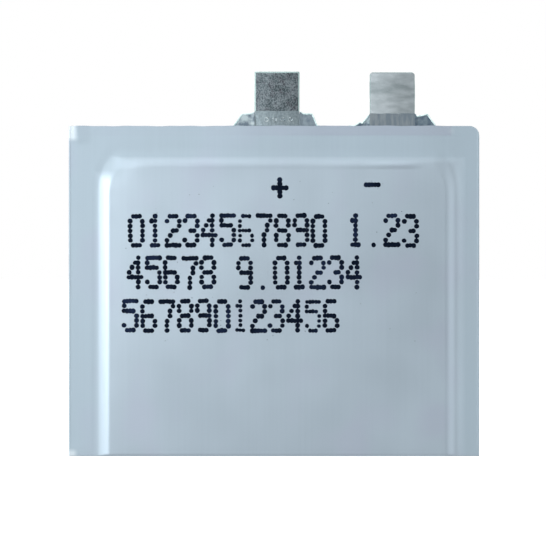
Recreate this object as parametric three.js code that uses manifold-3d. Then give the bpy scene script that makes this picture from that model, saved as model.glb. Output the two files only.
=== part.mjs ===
// An ultra-thin pouch cell: a laminate pouch folded along its bottom edge, with a shallow
// pocket for one electrode stack and two flat tabs through the top seal.
// Millimetres. The cell stands upright: +Z runs up to the tabs, the pocket faces -Y, and the
// flat rear face lies in the plane y = REAR_Y. The origin is below the middle of the fold.
import * as THREE from "three";
import { mergeVertices } from "three/addons/utils/BufferGeometryUtils.js";
import Module from "manifold-3d";

// Pouch outline
const BODY_WIDTH = 27.33;
const BODY_HEIGHT = 22;
const CELL_THICKNESS = 0.4;
const SEAL_THICKNESS = 0.18;
const CORNER_RADIUS = 0.65;
const REAR_Y = CELL_THICKNESS / 2;
const SIDE_X = BODY_WIDTH / 2;

// Formed pocket, measured at the foot of its slopes
const POCKET_LEFT = -11.77;
const POCKET_RIGHT = 12.2;
const POCKET_TOP = 19.93;
const POCKET_CORNER = 1.8;
const SLOPE_WIDTH = 0.87;

// Laminate layers, as depths below the outer skin
const NYLON_DEPTH = [0, 0.0195];
const BARRIER_DEPTH = [0.0205, 0.0545];
const SEALANT_DEPTH = [0.0555, 0.085];
const LEAF = SEALANT_DEPTH[1];

// Tabs
const CLEARANCE = 0.001;
const TAB_WIDTH = 3;
const TAB_THICKNESS = 0.08;
const TAB_FRONT_Y = -0.007;
const TAB_REAR_Y = TAB_FRONT_Y + TAB_THICKNESS;
const TAB_FOOT_Z = 17.8;
const POSITIVE_X = 0.2;
const POSITIVE_TOP_Z = 23;
const NEGATIVE_X = 7.87;
const NEGATIVE_TOP_Z = 25.57;
const TAB_CORNER = 0.22;
const CUT_CORNER = 0.055;
const CREASE_Z = 22.89;
const CREASE_HALF_WIDTH = 0.03;
const CREASE_DEPTH = 0.008;
const EXTENSION_FOOT_Z = 22.06;
const EXTENSION_TOP_Z = 25.63;

// Four spot welds in a row join the short positive tab to its extension
const WELD_COUNT = 4;
const WELD_OFFSET = 0.11;
const WELD_PITCH = 0.535;
const WELD_RADIUS = 0.17;
const WELD_HOLE_RADIUS = 0.175;
const WELD_Z = 22.43;
const WELD_PROUD = 0.012;
const WELD_RECESS = 0.002;
const ROUND_SIDES = 16;

// Tab films: one strip on each face of a tab, fused to each other beyond the tab's edges
const FILM_HALF_WIDTH = 2.9;
const FILM_THICKNESS = 0.04;
const FILM_FOOT_Z = 20.9;
const FILM_STEP_START = TAB_WIDTH / 2 + 0.03;
const FILM_STEP_END = TAB_WIDTH / 2 + 0.22;
const FILM_REAR_Y = REAR_Y - LEAF - CLEARANCE;
const FILM_FRONT_Y = TAB_FRONT_Y - CLEARANCE - FILM_THICKNESS;
const WING_FRONT_Y = 0.035;
const WING_REAR_Y = FILM_REAR_Y - FILM_THICKNESS;
const FILM_INNER_STEP = 0.09;

// Upper edges of the films, melted by the sealing heat, from right to left: distance from the
// tab's middle, and height above the pouch. The positive film leaves the tab's face bare.
const NOTCH = TAB_WIDTH / 2 + 0.04;
const NOTCH_FLOOR = 0.02;
const POSITIVE_FILM_EDGE = [
  [2.67, 0],
  [2.33, 0.8],
  [1.8, 0.8],
  [NOTCH, 0.96],
  [NOTCH, NOTCH_FLOOR],
  [-NOTCH, NOTCH_FLOOR],
  [-NOTCH, 0.96],
  [-1.67, 0.8],
  [-2.33, 0.8],
  [-2.87, 0],
];
const NEGATIVE_FILM_EDGE = [
  [2.89, 0.03],
  [2.6, 0.4],
  [2.33, 0.77],
  [1.63, 0.63],
  [1.5, 0.83],
  [-1.5, 0.83],
  [-1.54, 0.73],
  [-2, 0.17],
  [-2.14, 0.23],
  [-2.47, 0],
];

// The front leaf swells over each tab and its films, and falls away gently on both sides.
// Below the films it lies on the bare tab.
const SWELL_TOP = FILM_STEP_START + 0.03;
const SWELL_FOOT = FILM_HALF_WIDTH + TAB_WIDTH / 2;
const FILM_SWELL = REAR_Y - FILM_FRONT_Y + LEAF + CLEARANCE;
const TAB_SWELL = REAR_Y - TAB_FRONT_Y + LEAF + CLEARANCE;

// Electrode stack, from the middle outwards, as distances from the plane y = 0
const CATHODE_FOIL_Y = [-0.006, 0.006];
const CATHODE_COATING_Y = [0.007, 0.039];
const SEPARATOR_Y = [0.04, 0.056];
const ANODE_COATING_Y = [0.057, 0.091];
const ANODE_FOIL_Y = [0.092, 0.102];
const STACK_TAPE_Y = [0.103, 0.113];
const STACK_X = 0.25;
const CATHODE_SIZE = { halfWidth: 10.6, foot: 0.8, top: 17.1 };
const ANODE_SIZE = { halfWidth: 10.85, foot: 0.55, top: 17.35 };
const SEPARATOR_SIZE = { halfWidth: 11, foot: 0.4, top: 17.55 };

// Foil tails that run from the stack to the tabs, and the tapes over their welds
const TAIL_WIDTH = 2.4;
const TAIL_ROOT = 0.1;
const TAIL_BEND_Z = 17.6;
const TAIL_FLAT_Z = 17.78;
const TAIL_TOP_Z = 19;
const WELD_TAPE_WIDTH = 3.8;
const WELD_TAPE_Z = [17.85, 19.1];
const TAPE_THICKNESS = 0.01;

// Tapes that hold the stack together
const STACK_TAPE_WIDTH = 5;
const STACK_TAPE_REACH = 2.4;
const SIDE_TAPE_Z = 9.5;

// Plain looks of the materials
const NYLON = { color: 0xb6c3cf, roughness: 0.5, metalness: 0.6 };
const BARRIER_FOIL = { color: 0xc4c8cc, roughness: 0.35, metalness: 1 };
const SEALANT = { color: 0xd9dde0, roughness: 0.6, metalness: 0 };
const ALUMINIUM_TAB = { color: 0x98a3a9, roughness: 0.45, metalness: 1 };
const NICKEL_EXTENSION = { color: 0x6a757c, roughness: 0.7, metalness: 1 };
const WELD_METAL = { color: 0xaab4b8, roughness: 0.4, metalness: 1 };
const NICKEL_TAB = { color: 0xa0aaaf, roughness: 0.4, metalness: 1 };
const TAB_FILM = { color: 0x8fa6ae, roughness: 0.35, metalness: 0 };
const ALUMINIUM_FOIL = { color: 0xc8ccd0, roughness: 0.3, metalness: 1 };
const COPPER_FOIL = { color: 0xb87348, roughness: 0.3, metalness: 1 };
const CATHODE_COATING = { color: 0x2b2c30, roughness: 0.8, metalness: 0 };
const ANODE_COATING = { color: 0x3a3b3d, roughness: 0.85, metalness: 0 };
const SEPARATOR = { color: 0xe9ebea, roughness: 0.7, metalness: 0 };
const WELD_TAPE = { color: 0xc9b25a, roughness: 0.4, metalness: 0 };
const STACK_TAPE = { color: 0x3f7f5b, roughness: 0.4, metalness: 0 };

const wasm = await Module();
wasm.setup();

const cell = new THREE.Group();

function addPart(name, geometry, look) {
  const mesh = new THREE.Mesh(geometry, new THREE.MeshStandardMaterial(look));
  mesh.name = name;
  cell.add(mesh);
}

// Closed geometry as a solid that can be joined and cut.
function toSolid(geometry) {
  const bare = geometry.clone();
  bare.deleteAttribute("normal");
  bare.deleteAttribute("uv");
  const merged = mergeVertices(bare, 1e-4);
  return new wasm.Manifold(
    new wasm.Mesh({
      numProp: 3,
      vertProperties: new Float32Array(merged.attributes.position.array),
      triVerts: new Uint32Array(merged.index.array),
    }),
  );
}

function toGeometry(solid) {
  const mesh = solid.getMesh();
  const geometry = new THREE.BufferGeometry();
  geometry.setAttribute("position", new THREE.BufferAttribute(mesh.vertProperties, 3));
  geometry.setIndex(new THREE.BufferAttribute(mesh.triVerts, 1));
  geometry.computeVertexNormals();
  return geometry;
}

function box(x, y, z) {
  const geometry = new THREE.BoxGeometry(x[1] - x[0], y[1] - y[0], z[1] - z[0]);
  return geometry.translate((x[0] + x[1]) / 2, (y[0] + y[1]) / 2, (z[0] + z[1]) / 2);
}

function outline(points) {
  return new THREE.Shape(points.map(([u, v]) => new THREE.Vector2(u, v)));
}

// An outline in x and z, given depth from y[0] to y[1].
function extrudeAlongY(shape, y) {
  const geometry = new THREE.ExtrudeGeometry(shape, {
    depth: y[1] - y[0],
    bevelEnabled: false,
    curveSegments: 5,
  });
  return geometry.rotateX(Math.PI / 2).translate(0, y[1], 0);
}

// A section in y and z, given length from x[0] to x[1].
function extrudeAlongX(shape, x) {
  const geometry = new THREE.ExtrudeGeometry(shape, { depth: x[1] - x[0], bevelEnabled: false });
  const turn = new THREE.Matrix4().makeBasis(
    new THREE.Vector3(0, 1, 0),
    new THREE.Vector3(0, 0, 1),
    new THREE.Vector3(1, 0, 0),
  );
  return geometry.applyMatrix4(turn).translate(x[0], 0, 0);
}

// A section in x and y, given height from z[0] to z[1].
function extrudeAlongZ(shape, z) {
  const geometry = new THREE.ExtrudeGeometry(shape, { depth: z[1] - z[0], bevelEnabled: false });
  return geometry.translate(0, 0, z[0]);
}

function smooth(value) {
  const t = Math.min(Math.max(value, 0), 1);
  return t * t * (3 - 2 * t);
}

function evenSteps(from, to, count) {
  const { lerp } = THREE.MathUtils;
  return Array.from({ length: count + 1 }, (_, step) => lerp(from, to, step / count));
}

// Share of the pocket's full depth at a place on the front leaf: 0 on the seals, 1 on the panel.
function pocketShare(x, z) {
  const fromSide = Math.min(x - POCKET_LEFT, POCKET_RIGHT - x);
  const fromTop = POCKET_TOP - z;
  const inCorner = fromSide < POCKET_CORNER && fromTop < POCKET_CORNER;
  const inside = inCorner
    ? POCKET_CORNER - Math.hypot(POCKET_CORNER - fromSide, POCKET_CORNER - fromTop)
    : Math.min(fromSide, fromTop);
  return smooth(inside / SLOPE_WIDTH);
}

// Thickness of the seal beside and over a tab.
function swellThickness(x, z) {
  const aside = Math.min(Math.abs(x - POSITIVE_X), Math.abs(x - NEGATIVE_X));
  const share = smooth((SWELL_FOOT - aside) / (SWELL_FOOT - SWELL_TOP));
  const filmShare = smooth((z - POCKET_TOP) / (FILM_FOOT_Z - POCKET_TOP));
  const swell = THREE.MathUtils.lerp(TAB_SWELL, FILM_SWELL, filmShare);
  return SEAL_THICKNESS + (swell - SEAL_THICKNESS) * share;
}

function thickness(x, z) {
  return THREE.MathUtils.lerp(swellThickness(x, z), CELL_THICKNESS, pocketShare(x, z));
}

// Height of the pouch's top edge, which falls away round the right-hand corner.
function topEdge(x) {
  const past = x - (SIDE_X - CORNER_RADIUS);
  return past > 0
    ? BODY_HEIGHT - CORNER_RADIUS + Math.sqrt(Math.max(CORNER_RADIUS ** 2 - past ** 2, 0))
    : BODY_HEIGHT;
}

// Places of the sheet's rows and columns: across a slope, across a swell, round the rounded
// corner and round the fold
const PANEL_START = 1.3;
const SLOPE_STEPS = [0, 1 / 3, 2 / 3, 1].map((share) => SLOPE_WIDTH * share);
SLOPE_STEPS.push(PANEL_START, POCKET_CORNER);
const SWELL_STEPS = evenSteps(SWELL_TOP, SWELL_FOOT, 4);
const CORNER_TURNS = evenSteps(0, Math.PI / 2, 4);
const FOLD_STEPS = 4;

function sheetColumns() {
  const tabColumns = [POSITIVE_X, NEGATIVE_X].flatMap((centre) =>
    SWELL_STEPS.flatMap((step) => [centre - step, centre + step]),
  );
  const cornerColumns = CORNER_TURNS.map(
    (turn) => SIDE_X - CORNER_RADIUS + CORNER_RADIUS * Math.sin(turn),
  );
  const columns = [
    -SIDE_X,
    ...SLOPE_STEPS.map((step) => POCKET_LEFT + step),
    ...SLOPE_STEPS.map((step) => POCKET_RIGHT - step),
    ...tabColumns,
    ...cornerColumns,
  ];
  return columns.sort((a, b) => a - b);
}

// A place on the sheet, a given depth below its outer skin. Rows in the fold have a turn
// from 0 at the rear to 1 at the front, and rows on the two leaves have a height.
function sheetPoint(x, row, depth) {
  const radius = thickness(x, 0) / 2;
  if (row.height === undefined) {
    const angle = row.turn * Math.PI;
    const bend = radius - depth;
    return [x, REAR_Y - radius + bend * Math.cos(angle), radius - bend * Math.sin(angle)];
  }
  const edge = topEdge(x);
  const z =
    row.height > POCKET_TOP
      ? THREE.MathUtils.mapLinear(row.height, POCKET_TOP, BODY_HEIGHT, POCKET_TOP, edge)
      : row.height;
  const y = row.front ? REAR_Y - thickness(x, row.height) + depth : REAR_Y - depth;
  return [x, y, z];
}

function sheetRows() {
  const rows = [{ height: BODY_HEIGHT, front: false }];
  for (let step = 0; step <= FOLD_STEPS; step += 1) {
    rows.push({ turn: step / FOLD_STEPS });
  }
  const slope = SLOPE_STEPS.map((step) => POCKET_TOP - step).reverse();
  for (const height of [...slope, FILM_FOOT_Z, BODY_HEIGHT]) {
    rows.push({ height, front: true });
  }
  return rows;
}

// One layer of the laminate, folded round the bottom edge. The two leaves lie a hair apart,
// so the sheet is one closed body with open edges at the left, right and top.
function foldedSheet([outer, inner]) {
  const columns = sheetColumns();
  const rows = sheetRows();
  const skin = (depth) => rows.flatMap((row) => columns.flatMap((x) => sheetPoint(x, row, depth)));
  const innerStart = rows.length * columns.length;
  const lastRow = rows.length - 1;
  const lastColumn = columns.length - 1;
  const index = [];
  const outerAt = (row, column) => row * columns.length + column;
  const innerAt = (row, column) => innerStart + outerAt(row, column);
  const quad = (a, b, c, d) => index.push(a, b, c, a, c, d);
  const strip = (from, to) => {
    quad(outerAt(...from), innerAt(...from), innerAt(...to), outerAt(...to));
  };
  for (let row = 0; row < lastRow; row += 1) {
    for (let column = 0; column < lastColumn; column += 1) {
      const near = [row, column];
      const beside = [row, column + 1];
      const across = [row + 1, column + 1];
      const beyond = [row + 1, column];
      quad(...[near, beside, across, beyond].map((place) => outerAt(...place)));
      quad(...[near, beyond, across, beside].map((place) => innerAt(...place)));
    }
    strip([row + 1, 0], [row, 0]);
    strip([row, lastColumn], [row + 1, lastColumn]);
  }
  for (let column = 0; column < lastColumn; column += 1) {
    strip([0, column], [0, column + 1]);
    strip([lastRow, column + 1], [lastRow, column]);
  }
  const geometry = new THREE.BufferGeometry();
  const positions = [...skin(outer), ...skin(inner)];
  geometry.setAttribute("position", new THREE.Float32BufferAttribute(positions, 3));
  geometry.setIndex(index);
  geometry.computeVertexNormals();
  return geometry;
}

addPart("pouch_nylon_outer_film", foldedSheet(NYLON_DEPTH), NYLON);
addPart("pouch_aluminium_barrier_foil", foldedSheet(BARRIER_DEPTH), BARRIER_FOIL);
addPart("pouch_sealant_inner_film", foldedSheet(SEALANT_DEPTH), SEALANT);

// Short aluminium tab, nickel extension behind it, and the four welds that join them.
function weldCentres() {
  const first = POSITIVE_X + WELD_OFFSET - ((WELD_COUNT - 1) * WELD_PITCH) / 2;
  return Array.from({ length: WELD_COUNT }, (_, place) => first + place * WELD_PITCH);
}

function weldCylinder(x, radius, y) {
  const geometry = new THREE.CylinderGeometry(radius, radius, y[1] - y[0], ROUND_SIDES);
  return geometry.translate(x, (y[0] + y[1]) / 2, WELD_Z);
}

function withWeldHoles(geometry, y) {
  const past = [y[0] - TAB_THICKNESS, y[1] + TAB_THICKNESS];
  const drilled = weldCentres().reduce(
    (solid, x) => solid.subtract(toSolid(weldCylinder(x, WELD_HOLE_RADIUS, past))),
    toSolid(geometry),
  );
  return toGeometry(drilled);
}

// A flat strip with rounded upper corners, standing on its lower edge.
function stripOutline(centre, foot, top, corner) {
  const left = centre - TAB_WIDTH / 2;
  const right = centre + TAB_WIDTH / 2;
  const shape = new THREE.Shape();
  shape.moveTo(left, foot);
  shape.lineTo(right, foot);
  shape.lineTo(right, top - corner);
  shape.absarc(right - corner, top - corner, corner, 0, Math.PI / 2, false);
  shape.lineTo(left + corner, top);
  shape.absarc(left + corner, top - corner, corner, Math.PI / 2, Math.PI, false);
  shape.closePath();
  return shape;
}

const tabY = [TAB_FRONT_Y, TAB_REAR_Y];
const extensionY = [TAB_REAR_Y + CLEARANCE, TAB_REAR_Y + CLEARANCE + TAB_THICKNESS];
const weldY = [TAB_FRONT_Y - WELD_PROUD, extensionY[1] - WELD_RECESS];
const positiveOutline = stripOutline(POSITIVE_X, TAB_FOOT_Z, POSITIVE_TOP_Z, CUT_CORNER);
const extensionOutline = stripOutline(
  POSITIVE_X,
  EXTENSION_FOOT_Z,
  EXTENSION_TOP_Z,
  CUT_CORNER,
);
const negativeOutline = stripOutline(NEGATIVE_X, TAB_FOOT_Z, NEGATIVE_TOP_Z, TAB_CORNER);

const positiveTab = withWeldHoles(extrudeAlongY(positiveOutline, tabY), tabY);
const extension = withWeldHoles(extrudeAlongY(extensionOutline, extensionY), extensionY);
addPart("positive_tab", positiveTab, ALUMINIUM_TAB);
addPart("positive_tab_extension", extension, NICKEL_EXTENSION);
weldCentres().forEach((x, place) => {
  const nugget = weldCylinder(x, WELD_RADIUS, weldY);
  addPart(`positive_tab_weld_${place + 1}`, nugget, WELD_METAL);
});

// The negative tab has a crease across both faces just above its films, where it is bent in use.
function creasedSection(y, foot, top) {
  const low = CREASE_Z - CREASE_HALF_WIDTH;
  const high = CREASE_Z + CREASE_HALF_WIDTH;
  return outline([
    [y[0], foot],
    [y[0], low],
    [y[0] + CREASE_DEPTH, CREASE_Z],
    [y[0], high],
    [y[0], top],
    [y[1], top],
    [y[1], high],
    [y[1] - CREASE_DEPTH, CREASE_Z],
    [y[1], low],
    [y[1], foot],
  ]);
}

const negativeX = [NEGATIVE_X - TAB_WIDTH, NEGATIVE_X + TAB_WIDTH];
const creased = creasedSection(tabY, TAB_FOOT_Z - TAB_WIDTH, NEGATIVE_TOP_Z + TAB_WIDTH);
const negativeTab = toSolid(extrudeAlongX(creased, negativeX)).intersect(
  toSolid(extrudeAlongY(negativeOutline, [-REAR_Y, REAR_Y])),
);
addPart("negative_tab", toGeometry(negativeTab), NICKEL_TAB);

// Tab films. The front film steps down from the tab's face to meet the rear film.
function filmOutline(centre, edge) {
  const low = [
    [-FILM_HALF_WIDTH, BODY_HEIGHT - FILM_THICKNESS],
    [-FILM_HALF_WIDTH, FILM_FOOT_Z],
    [FILM_HALF_WIDTH, FILM_FOOT_Z],
    [FILM_HALF_WIDTH, BODY_HEIGHT - FILM_THICKNESS],
  ];
  const high = edge.map(([x, rise]) => [x, BODY_HEIGHT + rise]);
  return outline([...low, ...high].map(([x, z]) => [centre + x, z]));
}

function frontFilmSection(centre) {
  const half = TAB_WIDTH / 2 + CLEARANCE;
  const right = [
    [FILM_STEP_START, FILM_FRONT_Y],
    [FILM_STEP_END, WING_FRONT_Y],
    [FILM_HALF_WIDTH, WING_FRONT_Y],
    [FILM_HALF_WIDTH, WING_REAR_Y],
    [half + FILM_INNER_STEP, WING_REAR_Y],
    [half, FILM_FRONT_Y + FILM_THICKNESS],
  ];
  const left = right.map(([x, y]) => [-x, y]).reverse();
  return outline([...right, ...left].map(([x, y]) => [centre + x, y]));
}

function filmPair(centre, edge) {
  const z = [FILM_FOOT_Z, BODY_HEIGHT + 2 * FILM_HALF_WIDTH];
  const face = filmOutline(centre, edge);
  const cutter = toSolid(extrudeAlongY(face, [-REAR_Y, REAR_Y]));
  const front = toSolid(extrudeAlongZ(frontFilmSection(centre), z)).intersect(cutter);
  const rear = extrudeAlongY(face, [FILM_REAR_Y - FILM_THICKNESS + CLEARANCE / 2, FILM_REAR_Y]);
  return { front: toGeometry(front), rear };
}

const positiveFilm = filmPair(POSITIVE_X, POSITIVE_FILM_EDGE);
const negativeFilm = filmPair(NEGATIVE_X, NEGATIVE_FILM_EDGE);
addPart("positive_tab_film_front", positiveFilm.front, TAB_FILM);
addPart("positive_tab_film_rear", positiveFilm.rear, TAB_FILM);
addPart("negative_tab_film_front", negativeFilm.front, TAB_FILM);
addPart("negative_tab_film_rear", negativeFilm.rear, TAB_FILM);

// Electrode stack: one cathode foil coated on both faces between two single-coated anodes
const mirrored = ([near, far]) => [-far, -near];

function stackBox(size, y) {
  return box([STACK_X - size.halfWidth, STACK_X + size.halfWidth], y, [size.foot, size.top]);
}

// A foil whose tail leaves the stack at the foil's own y and bends to lie flat at tailY.
function foilWithTail(size, y, centre, tailY) {
  const half = (y[1] - y[0]) / 2;
  const middle = (y[0] + y[1]) / 2;
  const route = [
    [middle, size.top - TAIL_ROOT],
    [middle, TAIL_BEND_Z],
    [tailY, TAIL_FLAT_Z],
    [tailY, TAIL_TOP_Z],
  ];
  const ahead = route.map(([at, z]) => [at - half, z]);
  const behind = route.map(([at, z]) => [at + half, z]).reverse();
  const x = [centre - TAIL_WIDTH / 2, centre + TAIL_WIDTH / 2];
  const tail = extrudeAlongX(outline([...ahead, ...behind]), x);
  return toGeometry(toSolid(stackBox(size, y)).add(toSolid(tail)));
}

const cathodeHalf = CATHODE_FOIL_Y[1];
const anodeHalf = (ANODE_FOIL_Y[1] - ANODE_FOIL_Y[0]) / 2;
const cathodeTailY = TAB_FRONT_Y - CLEARANCE - cathodeHalf;
const frontAnodeTailY = TAB_FRONT_Y - CLEARANCE - anodeHalf;
const rearAnodeTailY = TAB_REAR_Y + CLEARANCE + anodeHalf;
const frontAnodeFoilY = mirrored(ANODE_FOIL_Y);
const cathodeFoil = foilWithTail(CATHODE_SIZE, CATHODE_FOIL_Y, POSITIVE_X, cathodeTailY);
const frontAnodeFoil = foilWithTail(ANODE_SIZE, frontAnodeFoilY, NEGATIVE_X, frontAnodeTailY);
const rearAnodeFoil = foilWithTail(ANODE_SIZE, ANODE_FOIL_Y, NEGATIVE_X, rearAnodeTailY);
addPart("cathode_foil", cathodeFoil, ALUMINIUM_FOIL);
addPart("anode_foil_front", frontAnodeFoil, COPPER_FOIL);
addPart("anode_foil_rear", rearAnodeFoil, COPPER_FOIL);

const stackLayers = [
  ["cathode_coating", CATHODE_SIZE, CATHODE_COATING_Y, CATHODE_COATING],
  ["separator", SEPARATOR_SIZE, SEPARATOR_Y, SEPARATOR],
  ["anode_coating", ANODE_SIZE, ANODE_COATING_Y, ANODE_COATING],
];
for (const [name, size, y, look] of stackLayers) {
  addPart(`${name}_front`, stackBox(size, mirrored(y)), look);
  addPart(`${name}_rear`, stackBox(size, y), look);
}

// Tapes over the welds between tails and tabs, one on each face of each tab
function weldTape(centre, frontY) {
  const x = [centre - WELD_TAPE_WIDTH / 2, centre + WELD_TAPE_WIDTH / 2];
  return box(x, [frontY, frontY + TAPE_THICKNESS], WELD_TAPE_Z);
}

const weldTapes = [
  ["positive_weld_tape_front", POSITIVE_X, cathodeTailY - cathodeHalf - CLEARANCE - TAPE_THICKNESS],
  ["positive_weld_tape_rear", POSITIVE_X, TAB_REAR_Y + CLEARANCE],
  ["negative_weld_tape_front", NEGATIVE_X, frontAnodeTailY - anodeHalf - CLEARANCE - TAPE_THICKNESS],
  ["negative_weld_tape_rear", NEGATIVE_X, rearAnodeTailY + anodeHalf + CLEARANCE],
];
for (const [name, centre, frontY] of weldTapes) {
  addPart(name, weldTape(centre, frontY), WELD_TAPE);
}

// Tapes that wrap the stack's left, right and lower edges, each a U round the separators.
// The section runs inwards from the web, along u, and across the stack, along y.
function tapeSection(place) {
  const [inner, outer] = STACK_TAPE_Y;
  const points = [
    [-TAPE_THICKNESS, -outer],
    [STACK_TAPE_REACH, -outer],
    [STACK_TAPE_REACH, -inner],
    [0, -inner],
    [0, inner],
    [STACK_TAPE_REACH, inner],
    [STACK_TAPE_REACH, outer],
    [-TAPE_THICKNESS, outer],
  ];
  return outline(points.map(place));
}

const sideZ = [SIDE_TAPE_Z - STACK_TAPE_WIDTH / 2, SIDE_TAPE_Z + STACK_TAPE_WIDTH / 2];
const lowerX = [STACK_X - STACK_TAPE_WIDTH / 2, STACK_X + STACK_TAPE_WIDTH / 2];
const leftEdge = STACK_X - SEPARATOR_SIZE.halfWidth - TAPE_THICKNESS;
const rightEdge = STACK_X + SEPARATOR_SIZE.halfWidth + TAPE_THICKNESS;
const lowerEdge = SEPARATOR_SIZE.foot - TAPE_THICKNESS;
const leftTape = extrudeAlongZ(tapeSection(([u, y]) => [leftEdge + u, y]), sideZ);
const rightTape = extrudeAlongZ(tapeSection(([u, y]) => [rightEdge - u, y]), sideZ);
const lowerTape = extrudeAlongX(tapeSection(([u, y]) => [y, lowerEdge + u]), lowerX);
addPart("stack_tape_left", leftTape, STACK_TAPE);
addPart("stack_tape_right", rightTape, STACK_TAPE);
addPart("stack_tape_bottom", lowerTape, STACK_TAPE);

export default cell;
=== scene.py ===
"""A thin pouch cell: the folded laminate pouch, its tabs, tab films, spot welds and ink.

All shapes are worked out in millimetres in the frame's own axes, and turned into metres when a
mesh is made. The cell stands on its fold, its pocket faces -Y and its flat rear face +Y.
"""

import math
import random

import bmesh
import bpy
import numpy as np
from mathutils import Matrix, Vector
from mathutils.geometry import delaunay_2d_cdt


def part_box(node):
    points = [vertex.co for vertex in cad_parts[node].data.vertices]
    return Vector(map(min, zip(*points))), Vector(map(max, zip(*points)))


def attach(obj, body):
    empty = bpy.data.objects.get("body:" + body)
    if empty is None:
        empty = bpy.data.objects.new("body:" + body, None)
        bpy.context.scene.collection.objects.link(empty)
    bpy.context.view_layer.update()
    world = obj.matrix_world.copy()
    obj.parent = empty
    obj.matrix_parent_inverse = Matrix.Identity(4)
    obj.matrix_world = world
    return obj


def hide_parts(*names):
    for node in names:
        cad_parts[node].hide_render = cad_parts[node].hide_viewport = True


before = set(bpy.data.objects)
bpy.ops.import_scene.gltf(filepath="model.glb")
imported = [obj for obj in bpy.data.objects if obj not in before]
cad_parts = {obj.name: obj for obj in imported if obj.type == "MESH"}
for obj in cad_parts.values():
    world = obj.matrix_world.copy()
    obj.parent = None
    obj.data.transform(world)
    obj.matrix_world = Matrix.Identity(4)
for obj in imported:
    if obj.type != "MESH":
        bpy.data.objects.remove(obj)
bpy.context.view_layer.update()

METRES = 0.001


def box_mm(node):
    """The two corners of a CAD node's box, in millimetres."""
    low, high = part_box(node)
    return low / METRES, high / METRES


def middle_x(node):
    """The middle of a CAD node across the cell, in millimetres."""
    low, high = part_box(node)
    return (low.x + high.x) / 2 / METRES


# Pouch outline, thickness and tabs, from the frame
POUCH_LOW, POUCH_HIGH = box_mm("pouch_nylon_outer_film")
SIDE_X = POUCH_HIGH.x
BODY_HEIGHT = POUCH_HIGH.z
REAR_Y = POUCH_HIGH.y
CELL_THICKNESS = REAR_Y - POUCH_LOW.y
POSITIVE_X = middle_x("positive_tab")
NEGATIVE_X = middle_x("negative_tab")

SEAL_THICKNESS = 0.18
CORNER_RADIUS = 0.65

# Unevenness of the cut upper edge: height, wave number and phase of each wave
CUT_WAVES = [(0.012, 1.9, 0.6), (0.008, 4.3, 0.0)]

# Formed pocket, measured at the foot of its slopes
POCKET_LEFT = -11.77
POCKET_RIGHT = 12.2
POCKET_TOP = 19.93
POCKET_CORNER = 1.8
SLOPE_WIDTH = 0.87
TOP_SLOPE_REACH = 0.6

# Laminate layers, as depths below the outer skin
LAYERS = {
    "pouch_nylon_outer_film": (0.0, 0.0195),
    "pouch_aluminium_barrier_foil": (0.0205, 0.0545),
    "pouch_sealant_inner_film": (0.0555, 0.085),
}

# Tab films and the swell that they raise in the seal
TAB_HALF = 1.5
FILM_HALF_WIDTH = 2.9
FILM_THICKNESS = 0.04
SWELL_TOP = 1.56
SWELL_FOOT = 6.2
FILM_FOOT_Z = 20.9
FILM_SWELL = 0.334
TAB_SWELL = 0.294


# ---------- mesh helpers

SHEET_SHARP_ANGLE = 50
TAB_SHARP_ANGLE = 40
WELD_SHARP_ANGLE = 60


def make_object(name, vertices, faces, material, smooth=True):
    """A mesh object from points in millimetres."""
    mesh = bpy.data.meshes.new(name)
    mesh.from_pydata([tuple(c * METRES for c in v) for v in vertices], [], faces)
    mesh.validate()
    mesh.update()
    if smooth:
        mesh.shade_smooth()
    obj = bpy.data.objects.new(name, mesh)
    bpy.context.scene.collection.objects.link(obj)
    obj.data.materials.append(material)
    return obj


def sharpen_edges(obj, degrees):
    """Marks edges that turn more than an angle as sharp, so that cut edges stay crisp."""
    obj.data.set_sharp_from_angle(angle=math.radians(degrees))


def full_turn(sides):
    """The angles of a regular polygon's corners."""
    return [2 * math.pi * side / sides for side in range(sides)]


def ring_faces(start, sides):
    """Faces between a ring of points and the next one."""
    faces = []
    for side in range(sides):
        a, b = start + side, start + (side + 1) % sides
        faces.append((a, b, b + sides, a + sides))
    return faces


def closed_sheet(name, outer, inner, material):
    """A closed body between two skins of the same grid, the outer one facing out."""
    high, wide = outer.shape[:2]
    start = high * wide
    vertices = np.concatenate([outer.reshape(-1, 3), inner.reshape(-1, 3)])
    faces = []
    for row in range(high - 1):
        for column in range(wide - 1):
            a = row * wide + column
            quad = (a, a + 1, a + wide + 1, a + wide)
            faces.append(quad)
            faces.append(tuple(start + i for i in reversed(quad)))
    rim = list(range(wide))
    rim += [row * wide + wide - 1 for row in range(1, high)]
    rim += [(high - 1) * wide + column for column in range(wide - 2, -1, -1)]
    rim += [row * wide for row in range(high - 2, 0, -1)]
    for here, there in zip(rim, rim[1:] + rim[:1]):
        faces.append((there, here, start + here, start + there))
    obj = make_object(name, vertices.tolist(), faces, material)
    sharpen_edges(obj, SHEET_SHARP_ANGLE)
    return obj


def settle(obj, node=None):
    """The piece rides on the cell and may stand for a CAD node, whose own mesh is then hidden."""
    if node:
        obj.name = node + "_formed"
    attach(obj, "root")
    if node:
        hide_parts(node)


def smooth_share(value):
    """0 up to 0, 1 from 1 on, and smooth between them."""
    t = np.clip(value, 0.0, 1.0)
    return t * t * (3 - 2 * t)


def rise(value, start, end):
    """0 up to a start, 1 from an end on, and smooth between them."""
    return smooth_share((value - start) / (end - start))


def bump_between(value, start, end):
    """1 at the middle of a span and 0 at its two ends."""
    t = np.clip((value - start) / (end - start), 0.0, 1.0)
    return 0.5 - 0.5 * np.cos(2 * math.pi * t)


def waves(seed, count, shortest, longest):
    """Random sine waves, as rows of wave number in x, wave number in z and phase."""
    draw = random.Random(seed)
    rows = []
    for _ in range(count):
        length = draw.uniform(shortest, longest)
        heading = draw.uniform(0, math.pi)
        k = 2 * math.pi / length
        rows.append((k * math.cos(heading), k * math.sin(heading), draw.uniform(0, 2 * math.pi)))
    return rows


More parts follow.
